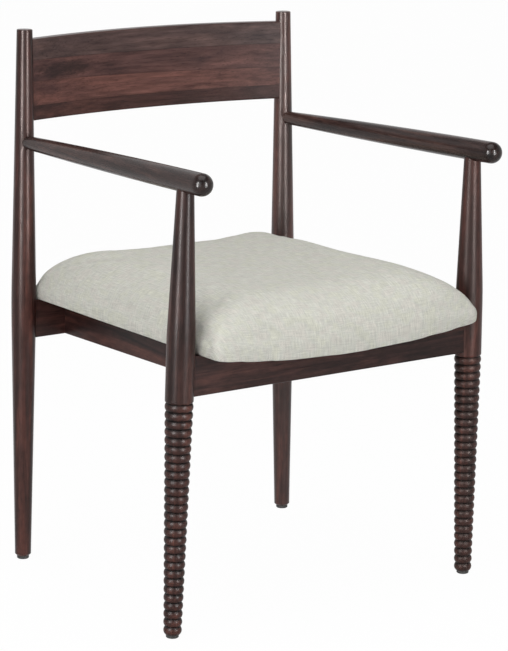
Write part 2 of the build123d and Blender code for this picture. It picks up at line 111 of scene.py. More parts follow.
def split(tree, vector):
    return add(tree, "ShaderNodeSeparateXYZ", {0: vector}).outputs


def newFinish(name, **values):
    finish = bpy.data.materials.new(name)
    finish.use_nodes = True
    tree = finish.node_tree
    tree.nodes.clear()
    shader = add(tree, "ShaderNodeBsdfPrincipled")
    for key, value in values.items():
        shader.inputs[key].default_value = value
    output = add(tree, "ShaderNodeOutputMaterial")
    tree.links.new(shader.outputs["BSDF"], output.inputs["Surface"])
    return finish, tree, shader


def feed(tree, shader, colour, roughness, height, strength, distance):
    tree.links.new(colour, shader.inputs["Base Color"])
    tree.links.new(roughness, shader.inputs["Roughness"])
    bump = add(tree, "ShaderNodeBump", {"Height": height, "Strength": strength, "Distance": distance})
    tree.links.new(bump.outputs["Normal"], shader.inputs["Normal"])


def paint(piece, finish):
    piece.data.materials.clear()
    piece.data.materials.append(finish)


def newPiece(name, points, faces):
    mesh = bpy.data.meshes.new(name)
    mesh.from_pydata(points, [], faces)
    mesh.update()
    piece = bpy.data.objects.new(name, mesh)
    scene.collection.objects.link(piece)
    return piece


def gridFaces(rows, columns, wrap=False):
    # quads between neighbouring rows and columns of a grid, wrapped round the columns for a tube
    index = np.arange(rows * columns).reshape(rows, columns)
    beside = np.roll(index, -1, axis=1) if wrap else index[:, 1:]
    here = index if wrap else index[:, :-1]
    return np.stack([here[:-1], beside[:-1], beside[1:], here[1:]], axis=-1).reshape(-1, 4)


# Camera, at the angle of the photograph

cameraSettings = {
    "place": (-2.52554, -3.38171, 1.35463),
    "azimuth": -36.984,
    "elevation": 13.012,
    "roll": 1.179,
    "lens": 159.62,
    "sensor": 36.0,
}


def makeCamera(settings):
    turn, lift, roll = np.radians([settings["azimuth"], settings["elevation"], settings["roll"]])
    back = Vector((np.sin(turn) * np.cos(lift), -np.cos(turn) * np.cos(lift), np.sin(lift)))
    right = Vector((np.cos(turn), np.sin(turn), 0.0))
    up = back.cross(right)
    tiltedRight = np.cos(roll) * right + np.sin(roll) * up
    tiltedUp = np.cos(roll) * up - np.sin(roll) * right
    data = bpy.data.cameras.new("camera")
    data.sensor_width = settings["sensor"]
    data.lens = settings["lens"]
    camera = bpy.data.objects.new("camera", data)
    scene.collection.objects.link(camera)
    place = Matrix((tiltedRight, tiltedUp, back)).transposed().to_4x4()
    place.translation = Vector(settings["place"])
    camera.matrix_world = place
    scene.camera = camera


makeCamera(cameraSettings)
print("camera placed")


# Studio: pale floor, white sweep far behind, two tall lamps in front, a wide one overhead and two strips
# that only give the wood its glints

studio = {
    "floorHalf": 25.0,
    "sweepRadius": 9.0,
    "sweepHeight": 8.0,
    "sweepTurn": (-70.0, 145.0),      # degrees from the rear, towards the sitter's left
    "sweepGrid": (3, 44),             # rows and columns
    "paper": (0.92, 0.92, 0.92),
    "paperWhite": 0.98,               # share of the paper that is seen as plain white
    "ambient": (0.225, 0.225, 0.228),   # light from all round
    "lamps": {                        # place, aim, width, height, watts, seen only in gloss
        "leftBox": ((-1.82, -1.0, 1.1), (0.0, 0.0, 0.5), 1.5, 1.6, 20.0, False),
        "rightBox": ((0.12, -2.1, 1.0), (0.0, 0.0, 0.5), 1.0, 1.6, 10.0, False),
        "overhead": ((-0.3, -0.3, 2.5), (0.0, 0.0, 0.45), 1.8, 1.8, 30.0, False),
        "leftStrip": ((-1.9, -0.63, 0.95), (0.0, 0.0, 0.8), 0.17, 1.4, 62.0, True),
        "rightStrip": ((0.12, -2.05, 0.95), (0.0, 0.0, 0.8), 0.17, 1.4, 66.0, True),
    },
}


def whitePaper(settings):
    # matt paper that the camera, mirrors and glass see as nearly plain white
    finish = bpy.data.materials.new("whitePaper")
    finish.use_nodes = True
    tree = finish.node_tree
    tree.nodes.clear()
    path = add(tree, "ShaderNodeLightPath").outputs
    seen = math(tree, "MAXIMUM", path["Is Camera Ray"], path["Is Glossy Ray"])
    seen = math(tree, "MAXIMUM", seen, path["Is Transmission Ray"])
    matt = add(tree, "ShaderNodeBsdfDiffuse", {"Color": (*settings["paper"], 1.0)})
    glow = add(tree, "ShaderNodeEmission", {"Color": (1.0, 1.0, 1.0, 1.0), "Strength": 1.0})
    share = math(tree, "MULTIPLY", seen, settings["paperWhite"])
    both = add(tree, "ShaderNodeMixShader", {0: share, 1: matt.outputs[0], 2: glow.outputs[0]})
    output = add(tree, "ShaderNodeOutputMaterial")
    tree.links.new(both.outputs[0], output.inputs["Surface"])
    return finish


def makeStudio(settings):
    paper = whitePaper(settings)
    half = settings["floorHalf"]
    corners = [(-half, -half, 0.0), (half, -half, 0.0), (half, half, 0.0), (-half, half, 0.0)]
    floor = newPiece("floor", corners, [(0, 1, 2, 3)])
    paint(floor, paper)
    # the sweep is a part of an upright cylinder round the chair
    rows, columns = settings["sweepGrid"]
    radius = settings["sweepRadius"]
    turn = np.radians(np.linspace(*settings["sweepTurn"], columns))[None, :]
    height = np.linspace(0, settings["sweepHeight"], rows)[:, None]
    points = np.stack([radius * np.sin(turn) + 0 * height, radius * np.cos(turn) + 0 * height,
                       height + 0 * turn], axis=-1)
    sweep = newPiece("sweep", points.reshape(-1, 3), gridFaces(rows, columns).tolist())
    paint(sweep, paper)

    world = bpy.data.worlds.new("surroundings")
    world.use_nodes = True
    world.node_tree.nodes["Background"].inputs["Color"].default_value = (*settings["ambient"], 1.0)
    scene.world = world

    for name, (place, aim, width, height, watts, glossOnly) in settings["lamps"].items():
        data = bpy.data.lights.new(name, "AREA")
        data.shape = "RECTANGLE"
        data.size, data.size_y, data.energy = width, height, watts
        lamp = bpy.data.objects.new(name, data)
        lamp.location = place
        lamp.rotation_mode = "QUATERNION"
        lamp.rotation_quaternion = (Vector(aim) - Vector(place)).to_track_quat("-Z", "Y")
        lamp.visible_diffuse = not glossOnly
        scene.collection.objects.link(lamp)


makeStudio(studio)
print("studio lit")


# Stained wood: long tonal drift, fine fibres and pores, all drawn out along the piece

midNoise = (0.25, 0.75)               # nearly all of a noise lies between these
innerNoise = (0.3, 0.7)               # and most of it between these
white = (1.0, 1.0, 1.0)
seedStep = (3.17, 5.71, 7.93)         # how far one seed lies from the next
woodNoise = {                         # detail, roughness and distortion
    "drift": (3.0, 0.5, 0.9),
    "fibre": (3.0, 0.6, 0.0),
    "pores": (1.0, 0.5, 0.0),
    "mottle": (3.0, 0.6, 0.0),
}
stain = {
    "dark": (0.012, 0.006, 0.0056),
    "body": (0.034, 0.0165, 0.0145),
    "warm": (0.074, 0.034, 0.0275),
    "stops": (0.3, 0.5, 0.68),        # of the drift, for the three colours
    "drift": (4.0, 55.0),             # waves per metre along and across the grain
    "fibre": (10.0, 260.0),
    "pores": (42.0, 1400.0),
    "poreEdge": (0.6, 0.72),
    "poreShade": 0.45,
    "mottle": (45.0, 95.0),
    "contrast": (0.74, 1.28),
    "figure": (0.66, 1.36),
    "roughness": (0.27, 0.4),
    "specular": 0.17,
    "glint": white,                   # colour of the gloss
    "bump": 0.08,
    "relief": (0.5, 0.4, 0.7),        # parts of fibre, pores and mottle in the bump
    "depth": 0.0004,
    "calmRoughness": 0.1,             # added where a calm stretch has no bump at all
}
legStains = {                         # by side, as the posts' below
    1: {**stain, "roughness": (0.33, 0.46), "specular": 0.23, "glint": (1.0, 0.85, 0.8)},
    -1: stain,
}
postStains = {
    1: {**stain, "roughness": (0.27, 0.41), "specular": 0.42, "glint": (1.0, 0.88, 0.84), "bump": 0.3},
    -1: {**stain, "roughness": (0.25, 0.38), "specular": 0.27, "glint": (1.0, 0.84, 0.8), "bump": 0.17},
}
# by side: the sitter's left post is tinted paler, partly as painted highlight
postTints = {1: (1.42, 1.08, 1.03), -1: (1.12, 0.85, 0.81)}
railTint = (1.12, 0.95, 0.92)
armStain = {
    **stain,
    "roughness": (0.19, 0.3),
    "specular": 0.24,
    "contrast": (0.8, 1.2),
    "figure": (0.74, 1.26),
}
armTint = (1.15, 1.32, 1.34)
armEndShade = {"reach": (0.004, 0.022), "shade": 0.42}   # end grain drinks more stain, and painted shade darkens it further
grain = {                             # direction and seed of each piece
    "leg": ("Z", 11),
    "post": ("Z", 21),
    "arm": ("Y", 31),
    "sideRail": ("Y", 51),
    "frontRail": ("X", 61),
    "rearRail": ("X", 65),
    "crest": ("X", 71),
}


def stretched(tree, vector, along, waves, seed):
    # the place in the piece, scaled by waves per metre along the grain and across it
    lengthwise, across = waves
    scale = [lengthwise if axis == along else across for axis in "XYZ"]
    feeds = {"Vector": vector, "Location": [seed * step for step in seedStep], "Scale": scale}
    return add(tree, "ShaderNodeMapping", feeds).outputs["Vector"]


def woodGrain(tree, vector, along, seed, settings):
    # colour, fibre and pores, each from noise that is far longer along the grain than across
    drift, fibre, fleck, mottle = (
        noise(tree, stretched(tree, vector, along, settings[kind], seed + step), *values)
        for step, (kind, values) in enumerate(woodNoise.items()))
    pores = remap(tree, fleck, *settings["poreEdge"], 0.0, 1.0)
    colour = ramp(tree, drift, zip(settings["stops"], (settings["dark"], settings["body"], settings["warm"])))
    colour = shaded(tree, colour, remap(tree, fibre, *midNoise, *settings["contrast"]))
    colour = shaded(tree, colour, remap(tree, pores, 0.0, 1.0, 1.0, settings["poreShade"]))
    colour = shaded(tree, colour, remap(tree, mottle, *midNoise, *settings["figure"]))
    raised, sunk, waved = settings["relief"]
    hollows = math(tree, "MULTIPLY", pores, sunk)
    height = math(tree, "SUBTRACT", math(tree, "MULTIPLY", fibre, raised), hollows)
    height = math(tree, "ADD", height, math(tree, "MULTIPLY", mottle, waved))
    return colour, fibre, height


def stainedWood(name, along, seed, settings=stain, change=None, shift=None, calm=None):
    # change reworks the colour, shift moves the place that the grain is taken from, and calm is the share
    # of the bump that stays
    finish, tree, shader = newFinish(name, **{"Specular IOR Level": settings["specular"],
                                              "Specular Tint": (*settings["glint"], 1.0)})
    place = add(tree, "ShaderNodeTexCoord").outputs["Object"]
    colour, fibre, height = woodGrain(tree, shift(tree, place) if shift else place, along, seed, settings)
    if change:
        colour = change(tree, place, colour)
    rough = remap(tree, fibre, *midNoise, *settings["roughness"])
    if calm:
        share = calm(tree, place)
        height = math(tree, "MULTIPLY", height, share)
        rough = math(tree, "ADD", rough, remap(tree, share, 0.0, 1.0, settings["calmRoughness"], 0.0))
    feed(tree, shader, colour, rough, height, settings["bump"], settings["depth"])
    return finish


rings = {
    "foot": (0.2711, -0.210751, 0.0),   # left leg, mirrored for the right one
    "leanDegrees": 1.0,
    "bottomRadius": 0.0131,
    "topRadius": 0.0204,
    "bottom": 0.005,
    "top": 0.3431,
    "grooveDepth": 0.0026,
    "beadBump": 0.3,
    "ease": 0.004,                    # over which the bump comes back above the rings
    "plainTints": {1: (1.7, 1.3, 1.22), -1: (1.06, 0.98, 0.95)},   # of the wood above, by side; the sitter's left leg's is paler, partly as painted highlight
    "shades": (                       # painted shade and stain by depth, as a share of the groove's
        (0.0, (1.55, 1.22, 1.1)),
        (0.3, (1.05, 0.8, 0.72)),
        (0.75, (0.3, 0.24, 0.22)),
        (1.0, (0.13, 0.11, 0.1)),
    ),
}


def ringShade(side, settings):
    # stain lies thick in the grooves and is rubbed thin on the beads, and painted shade darkens the grooves:
    # the shade follows the depth under the cone that touches all the beads, where depth is the cone's radius
    # less the distance to the axis
    foot = Vector(settings["foot"])
    foot.x *= side
    lean = np.radians(settings["leanDegrees"])
    axis = (-side * np.sin(lean), 0.0, np.cos(lean))

    def change(tree, place, colour):
        fromFoot = vectorMath(tree, "SUBTRACT", place, foot)[0]
        radius = vectorMath(tree, "LENGTH", vectorMath(tree, "CROSS_PRODUCT", fromFoot, axis)[0])["Value"]
        height = split(tree, place)["Z"]
        cone = remap(tree, height, settings["bottom"], settings["top"], settings["bottomRadius"],
                     settings["topRadius"])
        depth = math(tree, "SUBTRACT", cone, radius)
        # painted shade in the grooves, together with the pooled stain
        shade = ramp(tree, remap(tree, depth, 0.0, settings["grooveDepth"], 0.0, 1.0), settings["shades"])
        below = math(tree, "LESS_THAN", height, settings["top"])
        plain = shaded(tree, colour, settings["plainTints"][side])
        return mixColour(tree, below, plain, shaded(tree, colour, shade))

    return change


staves = {
    "bottom": 0.676,
    "height": 0.1215,
    "edges": ((0.183, 0.0), (0.45, -0.16), (0.735, -0.05)),   # glue lines: height as a share, rise per metre
    "glue": (0.008, 0.6),             # half width as a share of the height, and shade
    "places": (0.0, 0.2, 0.5, 0.8),   # of the staves on a ramp, below their numbers
    "jumps": (0.05, 0.35, 0.65, 0.95),   # how far off each stave takes its grain
    "tints": ((1.55, 1.32, 1.25), (3.2, 2.78, 2.58), (2.35, 2.2, 2.2), (1.9, 2.3, 2.4)),
    "figure": (-0.165, 0.7495, 0.062, 0.0125),   # place along and up, half length and half height
    "figureShade": 0.46,
    "figureWaves": (28.0, 110.0),
    "figureNoise": (3.0, 0.6, 1.5),   # detail, roughness and distortion
    "figureReach": 2.4,               # how far the noise spreads it
    "figureSeed": 41,
}
crestStain = {
    **stain,
    "dark": (0.021, 0.0105, 0.0098),
    "warm": (0.047, 0.0222, 0.0187),
    "drift": (4.0, 46.0),
    "contrast": (0.62, 1.42),
    "mottle": (17.0, 120.0),
    "figure": (0.74, 1.3),
}


def staveNumber(tree, place, settings):
    # the staves count up from the bottom in thirds; each glue line is a straight line on the board, and the
    # gap to it is the share of the height by which a place lies over it
    axes, bottom = split(tree, place), settings["bottom"]
    share = remap(tree, axes["Z"], bottom, bottom + settings["height"], 0.0, 1.0)
    number, gaps = 0.0, []
    for edge, rise in settings["edges"]:
        line = math(tree, "MULTIPLY_ADD", axes["X"], rise, edge)
        gaps.append(math(tree, "SUBTRACT", share, line))
        number = math(tree, "ADD", number, math(tree, "GREATER_THAN", gaps[-1], 0.0))
    return math(tree, "DIVIDE", number, len(settings["edges"])), gaps, axes


def byStave(tree, number, colours, settings):
    return ramp(tree, number, zip(settings["places"], colours), "CONSTANT")


def staveShift(settings):
    # each stave takes its grain from another place, so the figure breaks at the glue lines
    def shift(tree, place):
        number = staveNumber(tree, place, settings)[0]
        jump = byStave(tree, number, [(jump,) * 3 for jump in settings["jumps"]], settings)
        return vectorMath(tree, "ADD", place, jump)[0]

    return shift


def crestShade(settings):
    # the board is glued up from staves, each with its tint and a thin dark glue line below it. One has a
    # dark figure at its end, a soft ellipse broken up by noise.
    def change(tree, place, colour):
        number, gaps, axes = staveNumber(tree, place, settings)
        colour = shaded(tree, colour, byStave(tree, number, settings["tints"], settings))
        width, glueShade = settings["glue"]
        for gap in gaps:
            near = math(tree, "ABSOLUTE", gap)
            colour = shaded(tree, colour, remap(tree, near, 0.0, width, glueShade, 1.0))
        x, z, halfLength, halfHeight = settings["figure"]
        along = math(tree, "DIVIDE", math(tree, "SUBTRACT", axes["X"], x), halfLength)
        upward = math(tree, "DIVIDE", math(tree, "SUBTRACT", axes["Z"], z), halfHeight)
        away = math(tree, "ADD", math(tree, "POWER", along, 2.0), math(tree, "POWER", upward, 2.0))
        drawn = stretched(tree, place, "X", settings["figureWaves"], settings["figureSeed"])
        broken = math(tree, "MULTIPLY", noise(tree, drawn, *settings["figureNoise"]), settings["figureReach"])
        mask = math(tree, "SUBTRACT", broken, away)
        return shaded(tree, colour, remap(tree, mask, 0.0, 1.0, 1.0, settings["figureShade"]))

    return change


def ringCalm(settings):
    # the beads are sanded smoother than the plain wood above them
    def calm(tree, place):
        top = settings["top"]
        return remap(tree, split(tree, place)["Z"], top, top + settings["ease"], settings["beadBump"], 1.0)

    return calm


def tinted(tint):
    def change(tree, place, colour):
        return shaded(tree, colour, tint)

    return change


def armShade(side, settings):
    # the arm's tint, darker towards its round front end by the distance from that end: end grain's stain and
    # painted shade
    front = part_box(f"arm_{side}")[0][1]

    def change(tree, place, colour):
        fromEnd = math(tree, "SUBTRACT", split(tree, place)["Y"], front)
        shade = remap(tree, fromEnd, *settings["reach"], settings["shade"], 1.0)
        return shaded(tree, shaded(tree, colour, armTint), shade)

    return change


def woodFor(node, name, kind, turn=0, **values):
    # turn moves the seed, so that the left piece and the right one differ
    along, seed = grain[kind]
    paint(nodes[node], stainedWood(name, along, seed + turn, **values))


def finishWood():
    for side, sign in (("left", 1), ("right", -1)):
        woodFor(f"front_leg_{side}", f"legWood.{side}", "leg", sign, settings=legStains[sign],
                change=ringShade(sign, rings), calm=ringCalm(rings))
        woodFor(f"rear_post_{side}", f"postWood.{side}", "post", sign, settings=postStains[sign],
                change=tinted(postTints[sign]))
        woodFor(f"arm_{side}", f"armWood.{side}", "arm", sign, settings=armStain,
                change=armShade(side, armEndShade))
        woodFor(f"side_rail_{side}", f"sideRailWood.{side}", "sideRail", sign, change=tinted(railTint))
    woodFor("front_rail", "frontRailWood", "frontRail", change=tinted(railTint))
    woodFor("rear_rail", "rearRailWood", "rearRail", change=tinted(railTint))
    woodFor("crest_rail", "crestWood", "crest", settings=crestStain, change=crestShade(staves),
            shift=staveShift(staves))


finishWood()
print("stained wood finished")


# Bare wood, plywood, steel and plastic under the seat and at the feet

bareWood = {
    **stain,
    "dark": (0.36, 0.22, 0.115),
    "body": (0.47, 0.305, 0.165),
    "warm": (0.55, 0.37, 0.21),
    "drift": (5.0, 70.0),
    "fibre": (10.0, 500.0),
    "pores": (60.0, 1700.0),
    "roughness": (0.55, 0.7),
    "specular": 0.3,
    "mottle": (40.0, 80.0),
    "contrast": (0.8, 1.2),
    "figure": (0.85, 1.15),
    "bump": 0.3,
}
blockGrain, plywoodGrain, bareSeed = "X", ("Y", 81), 90
zincSteel = {
    "colours": ((0.35, (0.56, 0.55, 0.52)), (0.7, (0.40, 0.39, 0.36))),   # clean and dull
    "roughness": (0.28, 0.48),
    "metallic": 1.0,
    "waves": 180.0,                   # of the patches, per metre
    "grit": (1080.0, 0.15, 0.0002),   # waves per metre, strength and depth
}
glidePlastic = {
    "colours": ((0.35, (0.014, 0.0125, 0.011)), (0.7, (0.035, 0.032, 0.029))),   # clean and scuffed
    "roughness": (0.42, 0.62),
    "metallic": 0.0,
    "waves": 120.0,
    "grit": (720.0, 0.15, 0.0002),
}


def patchy(name, settings):
    # two tones in soft patches, rougher where the second one shows
    finish, tree, shader = newFinish(name, Metallic=settings["metallic"])
    place = add(tree, "ShaderNodeTexCoord").outputs["Object"]
    patches = noise(tree, place, detail=4.0, roughness=0.6, distortion=0.3, scale=settings["waves"])
    colour = ramp(tree, patches, settings["colours"])
    gritWaves, strength, depth = settings["grit"]
    rough = remap(tree, patches, *innerNoise, *settings["roughness"])
    feed(tree, shader, colour, rough, noise(tree, place, scale=gritWaves), strength, depth)
    return finish


def finishHardware():
    paint(nodes["seat_base"], stainedWood("plywood", *plywoodGrain, bareWood))
    for number, name in enumerate(sorted(nodes)):
        seed = bareSeed + number
        if "block_front" in name or "block_rear" in name:
            paint(nodes[name], stainedWood(f"blockWood.{number}", blockGrain, seed, bareWood))
        elif name.endswith("_dowels"):
            along = "Y" if "side" in name else "X"
            paint(nodes[name], stainedWood(f"dowelWood.{number}", along, seed, bareWood))
    steel = patchy("zincSteel", zincSteel)
    plastic = patchy("glidePlastic", glidePlastic)
    for name in nodes:
        if name.endswith(("_screws", "_staples")):
            paint(nodes[name], steel)
        elif name.startswith("glide_"):
            paint(nodes[name], plastic)


finishHardware()
print("hardware finished")


# Seat cloth: plain weave with slubs, drawn on the cloth's own map in metres

cloth = {
    "pitch": 0.00135,                 # thread to thread
    "warp": (0.692, 0.692, 0.622),
    "weft": (0.549, 0.55, 0.498),
    "crossing": 0.5,                  # how softly one thread passes over the other
    "slubs": (0.76, 1.24),            # darkest and palest stretch of a thread
    "slubEdge": (0.28, 0.72),         # of the noise, for those two
    "slubLength": 0.021,
    "slubWidth": 0.7,                 # waves to a thread
    "slubRise": 0.8,
    "sway": (70.0, 0.0012),           # waves per metre and size of the threads' wander
    "casts": ((0.4, (1.015, 0.985, 0.985)), (0.5, white), (0.6, (1.0, 0.998, 0.955))),
    "castWaves": 38.0,
    "hollows": (0.88, 1.05),          # shade between the threads and on top of them
    "roughness": (0.78, 0.95),
    "specular": 0.2,
    "sheen": (0.12, 0.5),             # weight and roughness
    "bump": 0.5,
    "depth": 0.0004,
}


def wovenCloth(name, settings):
    # each set of threads is a sine without its sign along one direction of the map, and the product of the
    # two sines says which set lies on top; slubs are noise about as wide as a thread and many threads long
    weight, sheenRoughness = settings["sheen"]
    finish, tree, shader = newFinish(name, **{"Sheen Weight": weight, "Sheen Roughness": sheenRoughness,
                                              "Specular IOR Level": settings["specular"]})
    place = add(tree, "ShaderNodeUVMap", uv_map="weave").outputs["UV"]
    swayWaves, swaySize = settings["sway"]
    wander = {"Vector": place, "Scale": swayWaves, "Detail": 1.0}
    drift = add(tree, "ShaderNodeTexNoise", wander).outputs["Color"]
    sway = add(tree, "ShaderNodeVectorMath", {0: drift, "Scale": swaySize}, operation="SCALE").outputs[0]
    swayed = vectorMath(tree, "ADD", place, sway)[0]
    axes = split(tree, swayed)
    wave = np.pi / settings["pitch"]
    warp = math(tree, "SINE", math(tree, "MULTIPLY", axes["X"], wave))
    weft = math(tree, "SINE", math(tree, "MULTIPLY", axes["Y"], wave))
    soft = settings["crossing"]
    over = remap(tree, math(tree, "MULTIPLY", warp, weft), -soft, soft, 0.0, 1.0)
    warpHeight = math(tree, "MULTIPLY", math(tree, "ABSOLUTE", warp), over)
    weftHeight = math(tree, "MULTIPLY", math(tree, "ABSOLUTE", weft), math(tree, "SUBTRACT", 1.0, over))
    height = math(tree, "MAXIMUM", warpHeight, weftHeight)
    fine, long = settings["slubWidth"] / settings["pitch"], 1.0 / settings["slubLength"]
    warpSlub, weftSlub = (
        noise(tree, add(tree, "ShaderNodeMapping", {"Vector": swayed, "Scale": scale}).outputs[0])
        for scale in ((fine, long, 1.0), (long, fine, 1.0)))
    slub = remap(tree, over, 0.0, 1.0, weftSlub, warpSlub)
    cast = ramp(tree, noise(tree, place, scale=settings["castWaves"]), settings["casts"])
    colour = mixColour(tree, over, settings["weft"], settings["warp"])
    colour = shaded(tree, colour, remap(tree, slub, *settings["slubEdge"], *settings["slubs"]))
    colour = shaded(tree, colour, cast)
    colour = shaded(tree, colour, remap(tree, height, 0.0, 1.0, *settings["hollows"]))
    raised = math(tree, "ADD", height, math(tree, "MULTIPLY", slub, settings["slubRise"]))
    rough = remap(tree, slub, *innerNoise, *settings["roughness"])
    feed(tree, shader, colour, rough, raised, settings["bump"], settings["depth"])
    return finish


# Seat cushion

cushion = {
    "frontFootY": -0.210751,          # the seat frame, as in the solids
    "railBottom": 0.3501,
    "pitchDegrees": 0.2,
    "hollowRadius": 1.66,
    "railHeight": 0.041,
    "front": -0.054,
    "rear": 0.44198,
    "frontHalf": 0.23952,
    "rearHalf": 0.2263,
    "thickness": 0.0832,
    "frontFill": 0.0012,              # extra height towards the front, and in the middle of the rear
    "rearFill": 0.005,
    "rearTaper": 0.06,                # how much narrower the shoulder gets towards the rear
    "sideFull": (0.74, 0.16, 0.15),   # fuller stretch of the sides: middle, half length and amount, as shares
    "sideHeight": 0.036,              # upright part of the sides, and of their front and rear ends
    "frontHeight": 0.018,
    "rearHeight": 0.027,
    "shoulder": 0.085,
    "rearNarrow": 0.4,                # how much less the shoulder is at the rear end
    "roundness": 1.7,                 # 2 is an ellipse, 1 a bevel
    "frontRoll": 0.080,
    "rearRoll": 0.060,
    "rollRoundness": 2.1,
    "frontCorner": 0.012,             # radius in plan
    "rearCorner": 0.011,
    "belly": 0.004,
    "rows": (25, 28),                 # over each roll, and from roll to roll
    "columns": (25, 9, 17, 21),       # along the bottom, up the side, over the shoulder, along the top
    "lift": 0.0003,                   # over the lining
    "sink": 0.005,                    # pressed flat after the mesh is rebuilt, so the lower edge is crisp
    "voxel": 0.0053,
    "ease": 0.5,                      # strength of a round of smoothing
    "easing": (30, 0.02),             # rounds of smoothing, and the height that it starts at
    "drawIn": (0.002, 0.016, 0.036),  # drawn in before it is stuffed: how far, and from which height to which
    "edge": (0.001, 0.02, 0.012),     # cloth over the plywood's edge: thickness, and between which heights
    "under": -0.9,                    # a face that looks down more than this lies under the seat
    "held": 0.014,                    # below this the stuffing moves nothing
    "pressure": 4.0,
    "steps": 20,
    "most": 0.006,                    # farthest that the stuffing moves a point
    "settle": (10, 0.02, 0.05),       # evens out small ripples on top: rounds, and from which height to which
}
stuffing = {
    "quality": 6,
    "mass": 0.3,
    "tension_stiffness": 25.0,
    "compression_stiffness": 25.0,
    "shear_stiffness": 12.0,
    "bending_stiffness": 1.5,
    "use_pressure": True,
}


def hollow(x, settings):
    # height of the dished rails: an arc of one radius from side to side
    radius = settings["hollowRadius"]
    return settings["railHeight"] + radius - np.sqrt(radius**2 - x**2)


def seatToRoom(x, back, up, settings):
    # the seat frame is pitched about the front legs' line
    pitch = np.radians(settings["pitchDegrees"])
    y = settings["frontFootY"] + back * np.cos(pitch) + up * np.sin(pitch)
    z = settings["railBottom"] + up * np.cos(pitch) - back * np.sin(pitch)
    return np.stack([x + 0 * back, y + 0 * x, z + 0 * x], axis=-1)


def halfWidth(back, settings):
    share = (back - settings["front"]) / (settings["rear"] - settings["front"])
    return settings["frontHalf"] + (settings["rearHalf"] - settings["frontHalf"]) * share


def cornerCut(fromEnd, radius):
    # how far a round corner in plan draws the side in, at a distance from the end
    run = np.clip(1 - fromEnd / radius, 0, 1)
    return radius * (1 - np.sqrt(1 - run**2))


def cushionSurface(settings):
    # rows are upright sections from front to rear: at each end a superellipse roll, over which the section
    # grows to its full height. Columns run round a section: along the bottom, up the bellied side, over a
    # superellipse shoulder and across the top, then down the other side.
    rollRows, straightRows = settings["rows"]
    angle = np.radians(np.linspace(0, 90, rollRows))
    power = 2 / settings["rollRoundness"]
    grown, run = np.sin(angle) ** power, 1 - np.cos(angle).clip(0) ** power
    front, rear = settings["front"], settings["rear"]
    frontEnd, rearEnd = front + settings["frontRoll"] * run, rear - settings["rearRoll"] * run[::-1]
    straight = np.linspace(frontEnd[-1], rearEnd[0], straightRows)[1:-1]
    back = np.concatenate([frontEnd, straight, rearEnd])[:, None]
    turn = np.concatenate([grown, np.ones(len(straight)), grown[::-1]])[:, None]
    share = (back - front) / (rear - front)
    fromEnd = np.minimum(back - front, rear - back)
    corner = np.where(share < 0.5, settings["frontCorner"], settings["rearCorner"])
    half = halfWidth(back, settings) - cornerCut(fromEnd, corner)
    endHeight = np.where(share < 0.5, settings["frontHeight"], settings["rearHeight"])
    side = endHeight + (settings["sideHeight"] - endHeight) * turn
    full = settings["thickness"] + settings["frontFill"] * np.cos(np.pi * share)
    top = settings["sideHeight"] + (full - settings["sideHeight"]) * turn
    bottomColumns, sideColumns, shoulderColumns, topColumns = settings["columns"]
    along = np.linspace(0, 1, bottomColumns)[None, :]
    rise = np.linspace(0, 1, sideColumns)[None, 1:]
    bend = np.linspace(0, np.pi / 2, shoulderColumns)[None, 1:]
    flat = np.linspace(0, 1, topColumns)[None, 1:]
    power = 2 / settings["roundness"]
    lift, belly = -settings["sink"], settings["belly"]
    middle, reach, amount = settings["sideFull"]
    bell = np.exp(-((share - middle) / reach)**2)
    fuller = settings["rearTaper"] * np.clip(2 * share - 1, 0, 1) + amount * bell
    narrow = np.where(share < 0.5, 1.0, 1 - settings["rearNarrow"] * (1 - turn))
    shoulder = settings["shoulder"] * narrow * (1 - fuller)
    bottomX = (half - belly) * along
    sideX = half - belly * (1 - 2 * rise) ** 2 * np.where(rise < 0.5, 1.0, 1 / 3)   # fullest at mid-height
    bendX = half - belly / 3 - (shoulder - belly / 3) * (1 - np.cos(bend).clip(0) ** power)
    topX = (half - shoulder) * (1 - flat)
    fill = settings["rearFill"] * share**2 * turn * np.sin(flat * np.pi / 2) ** 2
    x = np.concatenate([bottomX, sideX, bendX, topX], axis=1)
    lifts = np.concatenate([lift + 0 * bottomX, lift + (side - lift) * rise,
                            side + (top - side) * np.sin(bend) ** power, top + fill], axis=1)
    x = np.concatenate([x, -x[:, -2:0:-1]], axis=1)
    lifts = np.concatenate([lifts, lifts[:, -2:0:-1]], axis=1)
    points = seatToRoom(x, back + 0 * x, hollow(x, settings) + lifts, settings)
    rows, columns = x.shape
    faces = gridFaces(rows, columns, wrap=True)
    caps = [list(range(columns))[::-1], list(range((rows - 1) * columns, rows * columns))]
    return points.reshape(-1, 3), [*faces.tolist(), *caps]


def remeshed(piece, kind, **values):
    # the piece's mesh with one modifier worked out
    modifier = piece.modifiers.new("work", kind)
    for key, value in values.items():
        setattr(modifier, key, value)
    mesh = bpy.data.meshes.new_from_object(piece.evaluated_get(bpy.context.evaluated_depsgraph_get()))
    piece.modifiers.clear()
    old, piece.data = piece.data, mesh
    mesh.name = piece.name
    bpy.data.meshes.remove(old)


def positions(mesh, kind="co"):
    flat = np.empty(len(mesh.vertices) * 3, np.float32)
    mesh.vertices.foreach_get(kind, flat)
    return flat.reshape(-1, 3).astype(float)


def moveTo(mesh, points):
    mesh.vertices.foreach_set("co", points.astype(np.float32).ravel())
    mesh.update()


def gather(piece, name, chosen):
    # a group of the piece's points
    piece.vertex_groups.new(name=name).add(np.flatnonzero(chosen).tolist(), 1.0, "REPLACE")


def seatPlace(points, settings):
    # places in the seat frame: across, back, height over the hollow
    pitch = np.radians(settings["pitchDegrees"])
    y, z = points[:, 1] - settings["frontFootY"], points[:, 2] - settings["railBottom"]
    back, up = y * np.cos(pitch) - z * np.sin(pitch), y * np.sin(pitch) + z * np.cos(pitch)
    return points[:, 0], back, up - hollow(points[:, 0], settings)


def rising(value, low, high):
    # 0 up to low, 1 from high, straight between them; low may be the higher one
    return np.clip((value - low) / (high - low), 0, 1)


